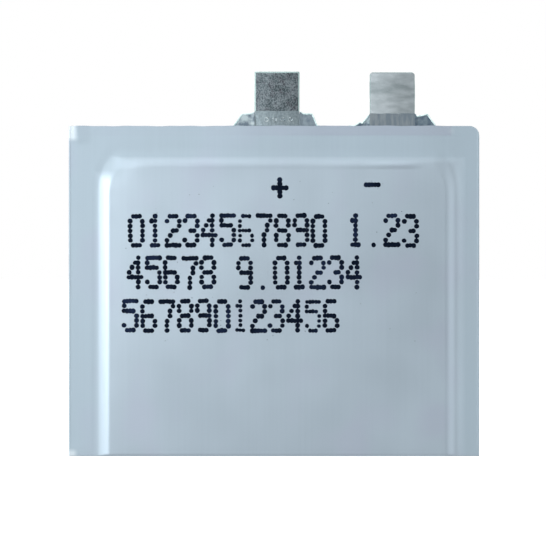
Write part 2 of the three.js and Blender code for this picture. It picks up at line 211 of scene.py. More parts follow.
def ripple(rows, x, z):
    """The sum of the waves at places x, z, from -1 to 1."""
    total = sum(np.sin(kx * x + kz * z + phase) for kx, kz, phase in rows)
    return total / len(rows)


# ---------- laminate shape

PANEL_WAVES = waves(seed=11, count=9, shortest=5.0, longest=14.0)
PANEL_WAVE_HEIGHT = 0.016
PANEL_WAVE_FADE = 1.5
SEAL_WAVES = waves(seed=12, count=9, shortest=1.6, longest=4.5)
SEAL_WAVE_HEIGHT = 0.006
SEAL_WAVE_FADE = 0.6
REAR_WAVES = waves(seed=13, count=9, shortest=3.0, longest=9.0)
REAR_WAVE_HEIGHT = 0.005

# Band pressed along the top seal, weaker towards the left
SEAL_BAND_Z = 21.35
SEAL_BAND_END_X = 11.8
SEAL_BAND_HEIGHT = 0.012
SEAL_BAND_STEP = 0.13
SEAL_BAND_END_STEP = 0.15
SEAL_BAND_WEAKEST = 0.25
SEAL_BAND_WEAK_X = -4
SEAL_BAND_FULL_X = 4
REAR_BAND_HEIGHT = 0.006
REAR_BAND_STEP = 0.08

# Ridges at the foot of the slopes and along the top of the pocket, and the beads of the cut sides
FOOT_RIDGE_HEIGHT = 0.007
FOOT_RIDGE_START = -0.7
FOOT_RIDGE_END = -0.04
CROWN_RIDGE_HEIGHT = 0.036
CROWN_RIDGE_START = 0.2
CROWN_RIDGE_FADE = 1.5
CROWN_LEFT_SHARE = 0.6
CROWN_FULL_START_X = 2
CROWN_FULL_X = 6
CROWN_PEAK_START_X = 5.5
CROWN_PEAK_END_X = 10.2
CROWN_PEAK_SHARE = 0.9
EDGE_BEAD_START = -0.02
EDGE_BEAD_WIDTH = 0.16
EDGE_BEAD_HEIGHT = 0.016
REAR_BEAD_SHARE = 0.5

# Handling creases across the two left corners
TOP_CREASE_X = -13.15
TOP_CREASE_LEAN = 0.15
TOP_CREASE_HEIGHT = 0.075
TOP_CREASE_FOOT_Z = 20.7
TOP_CREASE_FULL_Z = 21.2
LOW_CREASE_X = -12.95
LOW_CREASE_LEAN = -0.5
LOW_CREASE_HEIGHT = 0.05
LOW_CREASE_FULL_Z = 0.4
LOW_CREASE_END_Z = 0.8
CREASE_FALL = 0.9

# The fold, and the spacings of the laminate's grid
FOLD_STEPS = 12
FOLD_FADE = 0.5
FOLD_CLEARANCE = 0.06
MARGIN = 0.1
LEFT_RIM_WIDTH = 0.24
RIGHT_RIM_WIDTH = 0.7
PLAIN_BELOW_TOP = 1.4
COLUMN_SPACINGS = [0.02, 0.1, 0.045, 0.14, 0.045, 0.1, 0.03]
ROW_SPACINGS = [0.17, 0.05, 0.12, 0.02, 0.1, 0.03]


def pocket_inside(x, z):
    """Distance inwards from the foot of the pocket's slopes."""
    from_side = np.minimum(x - POCKET_LEFT, POCKET_RIGHT - x)
    from_top = (POCKET_TOP - z + TOP_SLOPE_REACH) * SLOPE_WIDTH / (SLOPE_WIDTH + TOP_SLOPE_REACH)
    corner = POCKET_CORNER - np.hypot(POCKET_CORNER - from_side, POCKET_CORNER - from_top)
    in_corner = (from_side < POCKET_CORNER) & (from_top < POCKET_CORNER)
    return np.where(in_corner, corner, np.minimum(from_side, from_top))


def thickness(x, z):
    """Thickness of the cell: full on the pocket, thin at the seal and swollen over the tabs."""
    share = smooth_share(pocket_inside(x, z) / SLOPE_WIDTH)
    clear = 1.0
    for centre in (POSITIVE_X, NEGATIVE_X):
        reach = (SWELL_FOOT - abs(x - centre)) / (SWELL_FOOT - SWELL_TOP)
        clear = clear * (1 - smooth_share(reach))
    over_tab = 1 - clear
    on_film = rise(z, POCKET_TOP, FILM_FOOT_Z)
    swell = TAB_SWELL + (FILM_SWELL - TAB_SWELL) * on_film
    flange = SEAL_THICKNESS + (swell - SEAL_THICKNESS) * over_tab
    return flange + (CELL_THICKNESS - flange) * share


def crease(x, line):
    """A ridge that climbs from the left side to a line, and falls away past it."""
    climb = (x + SIDE_X) / (line + SIDE_X)
    fall = 1 - (x - line) / CREASE_FALL
    return np.clip(np.where(x < line, climb, fall), 0, 1)


def crease_relief(x, z):
    """Creases that handling left in the two left corners of the seal."""
    top = crease(x, TOP_CREASE_X + TOP_CREASE_LEAN * (BODY_HEIGHT - z))
    top_share = rise(z, TOP_CREASE_FOOT_Z, TOP_CREASE_FULL_Z)
    low = crease(x, LOW_CREASE_X + LOW_CREASE_LEAN * z)
    low_share = 1 - rise(z, LOW_CREASE_FULL_Z, LOW_CREASE_END_Z)
    return TOP_CREASE_HEIGHT * top * top_share + LOW_CREASE_HEIGHT * low * low_share


def side_bead(x):
    """The thick line along the two cut sides."""
    return EDGE_BEAD_HEIGHT * bump_between(SIDE_X - abs(x), EDGE_BEAD_START, EDGE_BEAD_WIDTH)


def seal_band(x, z):
    """The raised band that the seal bar left along the upper edge."""
    above = rise(z, SEAL_BAND_Z - SEAL_BAND_STEP, SEAL_BAND_Z + SEAL_BAND_STEP)
    past_end = rise(x, SEAL_BAND_END_X - SEAL_BAND_END_STEP, SEAL_BAND_END_X + SEAL_BAND_END_STEP)
    strength = rise(x, SEAL_BAND_WEAK_X, SEAL_BAND_FULL_X)
    strength = SEAL_BAND_WEAKEST + (1 - SEAL_BAND_WEAKEST) * strength
    return SEAL_BAND_HEIGHT * above * (1 - past_end) * strength


def crown_ridge(x, z):
    """The ridge along the top of the pocket, strongest below the negative tab."""
    ridge = bump_between(POCKET_TOP - z, CROWN_RIDGE_START, SLOPE_WIDTH)
    start = POCKET_LEFT + POCKET_CORNER
    end = POCKET_RIGHT - POCKET_CORNER
    along = rise(x, start, start + CROWN_RIDGE_FADE) * (1 - rise(x, end - CROWN_RIDGE_FADE, end))
    strength = CROWN_LEFT_SHARE + (1 - CROWN_LEFT_SHARE) * rise(x, CROWN_FULL_START_X, CROWN_FULL_X)
    strength = strength + CROWN_PEAK_SHARE * bump_between(x, CROWN_PEAK_START_X, CROWN_PEAK_END_X)
    return CROWN_RIDGE_HEIGHT * ridge * along * strength


def front_relief(x, z):
    """How far the real front leaf stands proud of the ideal one."""
    inside = pocket_inside(x, z)
    on_panel = rise(inside, SLOPE_WIDTH, SLOPE_WIDTH + PANEL_WAVE_FADE)
    on_seal = smooth_share(-inside / SEAL_WAVE_FADE)
    relief = PANEL_WAVE_HEIGHT * on_panel * (0.5 + 0.5 * ripple(PANEL_WAVES, x, z))
    relief = relief + SEAL_WAVE_HEIGHT * on_seal * (0.5 + 0.5 * ripple(SEAL_WAVES, x, z))
    relief = relief + FOOT_RIDGE_HEIGHT * bump_between(inside, FOOT_RIDGE_START, FOOT_RIDGE_END)
    relief = relief + seal_band(x, z) + crown_ridge(x, z) + side_bead(x)
    return relief + crease_relief(x, z)


def rear_relief(x, z):
    """How far the real rear leaf stands proud of the plane."""
    relief = REAR_WAVE_HEIGHT * (0.5 + 0.5 * ripple(REAR_WAVES, x, z))
    above = rise(z, SEAL_BAND_Z, SEAL_BAND_Z + REAR_BAND_STEP)
    relief = relief + REAR_BAND_HEIGHT * (1 - above)
    return relief + REAR_BEAD_SHARE * side_bead(x)


def front_y(x, z):
    """Where the outer skin of the front leaf is."""
    return REAR_Y - thickness(x, z) - front_relief(x, z)


def top_edge(x):
    """Height of the cut upper edge, with the small unevenness of the cut."""
    past = np.clip(x - (SIDE_X - CORNER_RADIUS), 0, CORNER_RADIUS)
    arc = BODY_HEIGHT - CORNER_RADIUS + np.sqrt(CORNER_RADIUS**2 - past**2)
    cut = sum(height * np.sin(k * x + phase) for height, k, phase in CUT_WAVES)
    return arc + cut * smooth_share(SIDE_X - 1 - x)


def spread(stops, spacing):
    """Places from the first stop to the last, through every stop, with the given spacings."""
    places = [stops[0]]
    for start, end, step in zip(stops, stops[1:], spacing):
        count = max(1, round((end - start) / step))
        places += [start + (end - start) * i / count for i in range(1, count + 1)]
    return np.array(places)


def laminate_columns():
    """Places across the sheet, closest at the cut sides and on the pocket's slopes."""
    slope_reach = SLOPE_WIDTH + 3 * MARGIN
    stops = [-SIDE_X, -SIDE_X + LEFT_RIM_WIDTH, POCKET_LEFT - MARGIN, POCKET_LEFT + slope_reach]
    stops += [POCKET_RIGHT - slope_reach, POCKET_RIGHT + MARGIN, SIDE_X - RIGHT_RIM_WIDTH, SIDE_X]
    return spread(stops, COLUMN_SPACINGS)


def laminate_rows():
    """Heights on a leaf, from the fold up to the level that maps to the cut upper edge."""
    stops = [CELL_THICKNESS / 2 + FOLD_CLEARANCE, POCKET_TOP - PLAIN_BELOW_TOP, POCKET_TOP + MARGIN]
    stops += [SEAL_BAND_Z - MARGIN, SEAL_BAND_Z + MARGIN, BODY_HEIGHT - MARGIN, BODY_HEIGHT]
    return spread(stops, ROW_SPACINGS)


def skin(columns, rows, depth):
    """Points of one skin of the folded sheet: down the rear, round the fold, up the front."""
    x = columns
    edge = top_edge(x)
    points = []

    def leaf_height(level):
        if level <= POCKET_TOP:
            return np.full_like(x, level)
        return POCKET_TOP + (level - POCKET_TOP) * (edge - POCKET_TOP) / (BODY_HEIGHT - POCKET_TOP)

    for level in rows[::-1]:
        z = leaf_height(level)
        faded = smooth_share((z - CELL_THICKNESS / 2) / FOLD_FADE)
        points.append((x, REAR_Y - depth + rear_relief(x, z) * faded, z))
    radius = thickness(x, np.zeros_like(x)) / 2
    for step in range(FOLD_STEPS + 1):
        angle = math.pi * step / FOLD_STEPS
        bend = radius - depth
        y = REAR_Y - radius + bend * math.cos(angle)
        points.append((x, y, radius - bend * math.sin(angle)))
    for level in rows:
        z = leaf_height(level)
        faded = smooth_share((z - rows[0]) / FOLD_FADE)
        points.append((x, REAR_Y - thickness(x, z) + depth - front_relief(x, z) * faded, z))
    return np.array([np.stack(row, axis=1) for row in points])


def build_laminate(name, material):
    """One layer of the laminate as a closed sheet."""
    columns, rows = laminate_columns(), laminate_rows()
    outer, inner = (skin(columns, rows, depth) for depth in LAYERS[name])
    return closed_sheet(name, outer, inner, material)


# ---------- flat strips

OUTLINE_STEP = 0.12
CORNER_STEPS = 6
TAB_CORNERS = {"positive_tab": 0.05, "positive_tab_extension": 0.07, "negative_tab": 0.22}
TAB_WAVER = 0.02
TAB_WAVER_RISE = 0.3
TAB_BEVEL = 0.018
SAME_DEPTH = 1e-9


def rounded_outline(low, high, corner):
    """Outline of a strip with rounded upper corners, anticlockwise seen from the front."""
    points = []

    def side(start, end):
        count = max(1, round(math.dist(start, end) / OUTLINE_STEP))
        for i in range(count):
            share = i / count
            points.append(tuple(a + (b - a) * share for a, b in zip(start, end)))

    def arc(centre_x, start_turn):
        for i in range(CORNER_STEPS):
            turn = math.radians(start_turn + 90 * i / CORNER_STEPS)
            x = centre_x + corner * math.cos(turn)
            points.append((x, high.z - corner + corner * math.sin(turn)))

    side((low.x, low.z), (high.x, low.z))
    side((high.x, low.z), (high.x, high.z - corner))
    arc(high.x - corner, 0)
    side((high.x - corner, high.z), (low.x + corner, high.z))
    arc(low.x + corner, 90)
    side((low.x, high.z - corner), (low.x, low.z))
    return points


def uneven(points, seed):
    """The outline with the slight waver of a sheared edge, above the pouch only."""
    rows = waves(seed, count=5, shortest=0.5, longest=2.4)
    moved = []
    for x, z in points:
        share = min(1.0, max(0.0, (z - BODY_HEIGHT) / TAB_WAVER_RISE))
        moved.append((x + TAB_WAVER * share * float(ripple(rows, x, z)), z))
    return moved


def build_tab(name, seed, material):
    """A flat tab, cut to a slightly uneven outline, its rims rounded."""
    low, high = box_mm(name)
    outline = uneven(rounded_outline(low, high, TAB_CORNERS[name]), seed)
    bm = bmesh.new()
    front = [bm.verts.new((x * METRES, low.y * METRES, z * METRES)) for x, z in outline]
    face = bm.faces.new(front)
    grown = bmesh.ops.extrude_face_region(bm, geom=[face])
    moved = [g for g in grown["geom"] if isinstance(g, bmesh.types.BMVert)]
    bmesh.ops.translate(bm, verts=moved, vec=(0, (high.y - low.y) * METRES, 0))
    bmesh.ops.recalc_face_normals(bm, faces=bm.faces)
    rims = [e for e in bm.edges if abs(e.verts[0].co.y - e.verts[1].co.y) < SAME_DEPTH]
    bmesh.ops.bevel(
        bm, geom=rims, offset=TAB_BEVEL * METRES, segments=2, affect="EDGES", profile=0.6
    )
    mesh = bpy.data.meshes.new(name)
    bm.to_mesh(mesh)
    bm.free()
    mesh.shade_smooth()
    obj = bpy.data.objects.new(name, mesh)
    bpy.context.scene.collection.objects.link(obj)
    mesh.materials.append(material)
    sharpen_edges(obj, TAB_SHARP_ANGLE)
    return obj


# ---------- tab films

# Melted upper edge of each film, left wing and right wing: offsets from the tab's middle, and
# heights above the pouch
FILM_EDGES = {
    "positive": [(-2.87, 0.0), (-2.33, 0.8), (-1.67, 0.8), (-1.5, 0.94), (-1.45, 0.02)]
    + [(1.45, 0.02), (1.5, 0.94), (1.8, 0.8), (2.33, 0.8), (2.67, 0.0)],
    "negative": [(-2.47, 0.0), (-2.14, 0.23), (-2.0, 0.17), (-1.54, 0.73), (-1.5, 0.83)]
    + [(1.5, 0.83), (1.63, 0.63), (2.33, 0.77), (2.6, 0.4), (2.89, 0.03)],
}
FILM_SPACINGS = [0.05, 0.02, 0.1, 0.02, 0.05]
FILM_WAVER = 0.03
FILM_WAVER_FOOT = 0.05

# The step down from the face over the tab to the wings, as offsets from the tab's middle
STEP_START = 1.49
STEP_END = 1.75
OUTER_STEP_START = 1.53
OUTER_STEP_END = 1.72
INNER_STEP_START = 1.501
INNER_STEP_END = 1.591
OUTER_WING_Y = 0.035
INNER_WING_Y = 0.074

# The melted upper rim, as shares of the film's height, and the rounded bead on its wings
FILM_LEVELS = [*np.linspace(0, 0.8, 8), *np.linspace(0.84, 1, 8)]
THIN_LEVEL = 0.985
THIN_SHARE = 0.35
BEAD_LEVEL = 0.965
BEAD_HEIGHT = 0.01
RIM_RADIUS = 0.045
RIM_Y = 0.045
RIM_END = 1.52
RIM_STEP = 0.05
RIM_SIDES = 8


def film_columns():
    """Offsets from the tab's middle, closest where the film steps down."""
    stops = [-FILM_HALF_WIDTH, -STEP_END, -STEP_START, STEP_START, STEP_END, FILM_HALF_WIDTH]
    return spread(stops, FILM_SPACINGS)


def film_edge(pole, offsets, seed):
    """Height of a film's melted rim above the pouch, at offsets from the tab's middle."""
    edge_x, edge_z = zip(*FILM_EDGES[pole])
    edge = np.interp(offsets, edge_x, edge_z)
    waver = ripple(waves(seed, count=6, shortest=0.25, longest=0.9), offsets, 0)
    return edge + FILM_WAVER * waver * (edge > FILM_WAVER_FOOT)


def build_rim(name, pole, centre, side, seed, material):
    """The rounded bead along the melted rim of one wing of a film."""
    start, end = (-FILM_HALF_WIDTH, -RIM_END) if side == "left" else (RIM_END, FILM_HALF_WIDTH)
    offsets = np.arange(start, end, RIM_STEP)
    heights = film_edge(pole, offsets, seed) + BODY_HEIGHT
    path = [Vector((centre + x, z)) for x, z in zip(offsets, heights)]
    vertices, faces = [], []
    for place, point in enumerate(path):
        along = (path[min(place + 1, len(path) - 1)] - path[max(place - 1, 0)]).normalized()
        for angle in full_turn(RIM_SIDES):
            out = RIM_RADIUS * math.cos(angle)
            y = RIM_Y + RIM_RADIUS * math.sin(angle)
            vertices.append((point.x - along.y * out, y, point.y + along.x * out))
    for place in range(len(path) - 1):
        faces += ring_faces(place * RIM_SIDES, RIM_SIDES)
    faces.append(tuple(range(RIM_SIDES - 1, -1, -1)))
    faces.append(tuple(range(len(vertices) - RIM_SIDES, len(vertices))))
    settle(make_object(name, vertices, faces, material))


def build_film(name, pole, centre, front, seed, material):
    """A tab film: a thin strip that steps down beside the tab, its upper rim melted."""
    low, high = box_mm(name)
    offsets = film_columns()
    edge = film_edge(pole, offsets, seed)
    if front:
        outer_ends = (OUTER_STEP_START, OUTER_STEP_END)
        outer_y = np.interp(abs(offsets), outer_ends, (low.y, OUTER_WING_Y))
        inner_ends = (INNER_STEP_START, INNER_STEP_END)
        inner_y = np.interp(abs(offsets), inner_ends, (low.y + FILM_THICKNESS, INNER_WING_Y))
    else:
        outer_y = np.full_like(offsets, low.y)
        inner_y = np.full_like(offsets, high.y)
    outer, inner = [], []
    middle = (outer_y + inner_y) / 2
    for level in FILM_LEVELS:
        z = low.z + (BODY_HEIGHT + edge - low.z) * level
        thin = THIN_SHARE * rise(level, THIN_LEVEL, 1.0)
        bead = BEAD_HEIGHT * bump_between(level, BEAD_LEVEL, 1.0) * (1 if front else -1)
        outer.append(np.stack([centre + offsets, outer_y + (middle - outer_y) * thin - bead, z], 1))
        inner.append(np.stack([centre + offsets, inner_y + (middle - inner_y) * thin, z], 1))
    return closed_sheet(name, np.array(outer), np.array(inner), material)


# ---------- spot welds

WELD_NODES = [f"positive_tab_weld_{place}" for place in range(1, 5)]

# Radius and depth behind the weld's face, from the rim of the weld to its middle
WELD_PROFILE = [(0.17, 0.004), (0.155, -0.004), (0.125, -0.011), (0.095, -0.007)]
WELD_PROFILE += [(0.07, 0.01), (0.04, 0.02), (0.0, 0.022)]
WELD_SIDES = 28
WELD_SINK = 0.012
WELD_LEAN = (0.5, 1.1)
WELD_LEAN_TURN = 0.6


def build_weld(name, seed, material):
    """A spot weld: a raised lip round a small pit, tilted a little."""
    low, high = box_mm(name)
    face_y = low.y + WELD_SINK
    lean = random.Random(seed).uniform(*WELD_LEAN)
    centre_x, centre_z = (low.x + high.x) / 2, (low.z + high.z) / 2

    def ring(radius, y, tilt):
        points = []
        for turn in full_turn(WELD_SIDES):
            tilted = y + tilt * math.cos(turn - WELD_LEAN_TURN)
            x = centre_x + radius * math.cos(turn)
            points.append((x, tilted, centre_z + radius * math.sin(turn)))
        return points

    vertices, faces = [], []
    for radius, lift in WELD_PROFILE[:-1]:
        vertices += ring(radius, face_y + lift, lift * lean if lift < 0 else 0)
    tip = len(vertices)
    vertices.append((centre_x, face_y + WELD_PROFILE[-1][1], centre_z))
    back = len(vertices)
    vertices += ring(WELD_PROFILE[0][0], high.y, 0)
    innermost = tip - WELD_SIDES
    for start in range(0, innermost, WELD_SIDES):
        faces += ring_faces(start, WELD_SIDES)
    for side in range(WELD_SIDES):
        beside = (side + 1) % WELD_SIDES
        faces.append((innermost + side, innermost + beside, tip))
        faces.append((beside, side, back + side, back + beside))
    faces.append(tuple(back + side for side in range(WELD_SIDES - 1, -1, -1)))
    obj = make_object(name, vertices, faces, material)
    sharpen_edges(obj, WELD_SHARP_ANGLE)
    return obj


# ---------- printed ink

GLYPHS = {
    "0": "01110 10001 10001 10001 10001 10001 01110",
    "1": "00100 01100 00100 00100 00100 00100 01110",
    "2": "01110 10001 00001 00110 01000 10000 11111",
    "3": "01110 10001 00001 00110 00001 10001 01110",
    "4": "00010 00110 01010 10010 11111 00010 00010",
    "5": "11111 10000 11110 00001 00001 10001 01110",
    "6": "01110 10000 10000 11110 10001 10001 01110",
    "7": "11111 00001 00010 00010 00100 00100 00100",
    "8": "01110 10001 10001 01110 10001 10001 01110",
    "9": "01110 10001 10001 01111 00001 00001 01110",
    ".": "00000 00000 00000 00000 00000 00000 00100",
    "+": "00000 00100 00100 11111 00100 00100 00000",
    "-": "00000 00000 00000 11111 00000 00000 00000",
}
DOT_PITCH_X = 0.203
DOT_PITCH_Z = 0.322
CHARACTER_PITCH = 1.213
DOT_RADIUS = 0.168
DOT_SIDES = 14
INK_HEIGHT = 0.0045
INK_DEPTH = 0.0015
PRINTED_LINES = [
    ("01234567890 1.23", -9.55, 16.0),
    ("45678 9.01234", -9.65, 13.2),
    ("567890123456", -9.95, 10.33),
]
PRINTED_SIGNS = [
    ("ink_plus_sign", "+", 0.38, 17.87, 0.205, 0.27),
    ("ink_minus_sign", "-", 6.52, 18.07, 0.2, 0.3),
]

# How far characters and drops of ink stray, and how the drops vary
CHARACTER_STRAY_X = 0.02
CHARACTER_STRAY_Z = 0.03
DOT_STRAY = 0.016
DOT_SIZE = (0.93, 1.07)
DOT_FLATNESS = (0.9, 1.08)
DOT_WAVER = (0.95, 1.05)
SIGN_STRAY = 0.01
SIGN_SIZE = (1.0, 1.1)
WEAK_CHANCE = 0.12
WEAK_SIZE = 0.82
SPECKS = 46
SPECK_SIZE = (0.012, 0.03)
SPECKS_X = (-10, 9.5)
SPECKS_Z = (7.6, 18.6)
MERGE_DISTANCE = 1e-5


def stray(draw, reach):
    """A random shift either way."""
    return draw.uniform(-reach, reach)


def glyph_dots(glyph, left, top, pitch_x, pitch_z):
    """Places of a character's dots, row by row from the top."""
    dots = []
    for row, cells in enumerate(GLYPHS[glyph].split()):
        for column, cell in enumerate(cells):
            if cell == "1":
                dots.append((left + column * pitch_x, top - row * pitch_z))
    return dots


def dot_ring(centre, radius, draw):
    """One drop of ink, slightly out of round."""
    start = draw.uniform(0, math.pi)
    flat = draw.uniform(*DOT_FLATNESS)
    ring = []
    for side in range(DOT_SIDES):
        turn = start + 2 * math.pi * side / DOT_SIDES
        reach = radius * draw.uniform(*DOT_WAVER)
        ring.append(
            Vector((centre[0] + reach * math.cos(turn), centre[1] + reach * flat * math.sin(turn)))
        )
    return ring


def merged_dots(rings):
    """The union of the drops as one flat mesh: its points and its triangles."""
    points = [p for ring in rings for p in ring]
    loops = [list(range(i, i + DOT_SIDES)) for i in range(0, len(points), DOT_SIDES)]
    made = delaunay_2d_cdt(points, [], loops, 1, MERGE_DISTANCE)
    return made[0], made[2]


def ink_faces(points, triangles, vertices, faces):
    """Adds a flat patch of ink as a closed body that lies on the pouch."""
    start, count = len(vertices), len(points)
    for depth in (-INK_HEIGHT, INK_DEPTH):
        for x, z in points:
            vertices.append((x, float(front_y(np.array(x), np.array(z))) + depth, z))
    directed = set()
    for triangle in triangles:
        faces.append(tuple(start + i for i in triangle))
        faces.append(tuple(start + count + i for i in reversed(triangle)))
        ring = list(triangle)
        directed |= set(zip(ring, ring[1:] + ring[:1]))
    for a, b in sorted(directed):
        if (b, a) not in directed:
            faces.append((start + b, start + a, start + count + a, start + count + b))


def ink_object(name, patches, material):
    """A piece of print made of patches, each one the union of its drops."""
    vertices, faces = [], []
    for rings in patches:
        points, triangles = merged_dots(rings)
        ink_faces([tuple(p) for p in points], triangles, vertices, faces)
    settle(make_object(name, vertices, faces, material, smooth=False))


def print_line(name, text, left, top, draw, material):
    """A line of dot-matrix characters, each slightly out of place and some of them weak."""
    patches = []
    for place, glyph in enumerate(text):
        if glyph == " ":
            continue
        start = left + place * CHARACTER_PITCH + stray(draw, CHARACTER_STRAY_X)
        upper = top + stray(draw, CHARACTER_STRAY_Z)
        size = DOT_RADIUS * (WEAK_SIZE if draw.random() < WEAK_CHANCE else 1)
        rings = []
        for x, z in glyph_dots(glyph, start, upper, DOT_PITCH_X, DOT_PITCH_Z):
            radius = size * draw.uniform(*DOT_SIZE)
            centre = (x + stray(draw, DOT_STRAY), z + stray(draw, DOT_STRAY))
            rings.append(dot_ring(centre, radius, draw))
        patches.append(rings)
    ink_object(name, patches, material)


def print_sign(name, glyph, centre_x, centre_z, pitch_x, pitch_z, draw, material):
    """A mark of polarity below its tab."""
    rings = []
    left, top = centre_x - 2 * pitch_x, centre_z + 3 * pitch_z
    for x, z in glyph_dots(glyph, left, top, pitch_x, pitch_z):
        centre = (x + stray(draw, SIGN_STRAY), z)
        rings.append(dot_ring(centre, DOT_RADIUS * draw.uniform(*SIGN_SIZE), draw))
    ink_object(name, [rings], material)


def print_specks(name, draw, material):
    """Stray droplets round the print."""
    patches = []
    for _ in range(SPECKS):
        centre = (draw.uniform(*SPECKS_X), draw.uniform(*SPECKS_Z))
        patches.append([dot_ring(centre, draw.uniform(*SPECK_SIZE), draw)])
    ink_object(name, patches, material)


# ---------- materials


class Nodes:
    """Short ways to add and link the nodes of one material."""

    def __init__(self, name):
        self.material = bpy.data.materials.new(name)
        self.material.use_nodes = True
        self.tree = self.material.node_tree
        self.shader = self.tree.nodes["Principled BSDF"]
        self.place = self.add("ShaderNodeTexCoord").outputs["Object"]

    def add(self, kind, **settings):
        node = self.tree.nodes.new(kind)
        for key, value in settings.items():
            setattr(node, key, value)
        return node

    def link(self, source, target):
        self.tree.links.new(source, target)

    def set(self, **values):
        """Uniform values, set on the shader's own sockets."""
        for key, value in values.items():
            self.shader.inputs[key.replace("_", " ")].default_value = value

    def stretched(self, scale, turn=(0, 0, 0)):
        """The place on the object in millimetres, scaled along each axis or evenly."""
        scales = scale if isinstance(scale, tuple) else (scale, scale, scale)
        mapping = self.add("ShaderNodeMapping")
        mapping.inputs["Scale"].default_value = [s / METRES for s in scales]
        mapping.inputs["Rotation"].default_value = [math.radians(t) for t in turn]
        self.link(self.place, mapping.inputs["Vector"])
        return mapping.outputs["Vector"]

    def noise(self, scale, detail=2.0, roughness=0.55, turn=(0, 0, 0)):
        """Noise whose features are 1 / scale millimetres along each axis."""
        node = self.add("ShaderNodeTexNoise")
        node.inputs["Scale"].default_value = 1.0
        node.inputs["Detail"].default_value = detail
        node.inputs["Roughness"].default_value = roughness
        self.link(self.stretched(scale, turn), node.inputs["Vector"])
        return node.outputs["Fac"]

    def cells(self, scale):
        """Distance from the middles of scattered cells."""
        node = self.add("ShaderNodeTexVoronoi")
        node.inputs["Scale"].default_value = 1.0
        self.link(self.stretched(scale), node.inputs["Vector"])
        return node.outputs["Distance"]

    def fill(self, socket, value):
        """Gives a socket another node's output, a number or a colour."""
        if isinstance(value, bpy.types.NodeSocket):
            self.link(value, socket)
        else:
            socket.default_value = (*value, 1.0) if isinstance(value, tuple) else value

    def spans(self, value, low, high, to_low=0.0, to_high=1.0):
        """Maps one span of values onto another, and stays within it."""
        node = self.add("ShaderNodeMapRange", clamp=True)
        for socket, end in zip(node.inputs, (value, low, high, to_low, to_high)):
            self.fill(socket, end)
        return node.outputs["Result"]

    def math(self, operation, a, b):
        """Arithmetic on two values."""
        node = self.add("ShaderNodeMath", operation=operation)
        self.fill(node.inputs[0], a)
        self.fill(node.inputs[1], b)
        return node.outputs["Value"]

    def blend(self, share, first, second):
        """Colour between two colours, or between the outputs of other nodes."""
        node = self.add("ShaderNodeMix", data_type="RGBA")
        self.link(share, node.inputs["Factor"])
        self.fill(node.inputs["A"], first)
        self.fill(node.inputs["B"], second)
        return node.outputs["Result"]

    def bump(self, height, distance, strength, after=None):
        """Fine relief of a height in millimetres, on top of another relief if one is given."""
        node = self.add("ShaderNodeBump")
        node.inputs["Strength"].default_value = strength
        node.inputs["Distance"].default_value = distance * METRES
        self.link(height, node.inputs["Height"])
        if after is not None:
            self.link(after, node.inputs["Normal"])
        return node.outputs["Normal"]

    def product(self, first, *others):
        """The product of several values."""
        for other in others:
            first = self.math("MULTIPLY", first, other)
        return first

    def largest(self, first, *others):
        """The largest of several values."""
        for other in others:
            first = self.math("MAXIMUM", first, other)
        return first

    def mixed(self, first, second, share):
        """A weighted mean of two values; the share is that of the first."""
        return self.math("ADD", self.product(first, share), self.product(second, 1 - share))

    def along(self, axis, low, high, to_low=0.0, to_high=1.0):
        """Goes from one value to another between two places on an axis, in millimetres."""
        axes = self.add("ShaderNodeSeparateXYZ")
        self.link(self.place, axes.inputs["Vector"])
        return self.spans(axes.outputs[axis], low * METRES, high * METRES, to_low, to_high)

    def front_share(self):
        """1 on the front leaf and 0 on the flat rear."""
        return self.along("Y", REAR_Y - 0.1, REAR_Y - 0.05, 1, 0)

    def seal_share(self):
        """1 on the seal round the pocket, which the seal bars left duller, and on a patch over the
        pocket's upper left corner; 0 on the rest of the pocket.
        """
        left = self.along("X", POCKET_LEFT - 0.3, POCKET_LEFT + 1.0, 1, 0)
        right = self.along("X", POCKET_RIGHT - 0.3, POCKET_RIGHT + 0.6)
        top = self.along("Z", POCKET_TOP - 0.45, POCKET_TOP + 0.05)
        # The corner patch dulls the pocket's upper left corner to dim its highlight, and greys its
        # colour there as well: painted shade
        near_left = self.along("X", POCKET_LEFT + 0.9, POCKET_LEFT + 2.6, 1, 0)
        near_top = self.along("Z", POCKET_TOP - 2.0, POCKET_TOP - 0.9)
        corner = self.product(self.front_share(), near_left, near_top)
        return self.largest(left, right, top, corner)

    def rim_share(self, node, width, most):
        """Rises along the two sides and the upper end of a tab, within a width of its edge."""
        low, high = box_mm(node)
        left = self.along("X", low.x + width / 2, low.x + width, most, 0)
        right = self.along("X", high.x - width, high.x - width / 2, 0, most)
        top = self.along("Z", high.z - width, high.z - width / 2, 0, most)
        return self.largest(left, right, top)

    def patch(self, x_span, z_span, soft):
        """1 inside a rectangle of the front face and 0 outside it, with soft borders."""
        sides = []
        for axis, (low, high) in (("X", x_span), ("Z", z_span)):
            sides.append(self.along(axis, low - soft, low + soft))
            sides.append(self.along(axis, high - soft, high + soft, 1, 0))
        return self.product(*sides)

    def colour(self, source):
        self.link(source, self.shader.inputs["Base Color"])

    def roughness(self, source):
        self.link(source, self.shader.inputs["Roughness"])

    def normal(self, source):
        self.link(source, self.shader.inputs["Normal"])


SEAL_DULLNESS = 0.38
SEAL_GREYNESS = 0.16
OUTSIDE_LEFT = -SIDE_X - 1
OUTSIDE_BELOW = -1
OUTSIDE_ABOVE = BODY_HEIGHT + 2
# Patches of painted highlight, where the two creased left corners and the end of the seal band
# catch the light
CREASE_HIGHLIGHT_X = (OUTSIDE_LEFT, -13.2)
CREASE_HIGHLIGHT_TOP = (21.1, OUTSIDE_ABOVE)
CREASE_HIGHLIGHT_BOTTOM = (OUTSIDE_BELOW, 0.4)
BAND_END_HIGHLIGHT_X = (SEAL_BAND_END_X - 0.1, SEAL_BAND_END_X + 0.15)
BAND_END_HIGHLIGHT_Z = (21.55, 21.8)


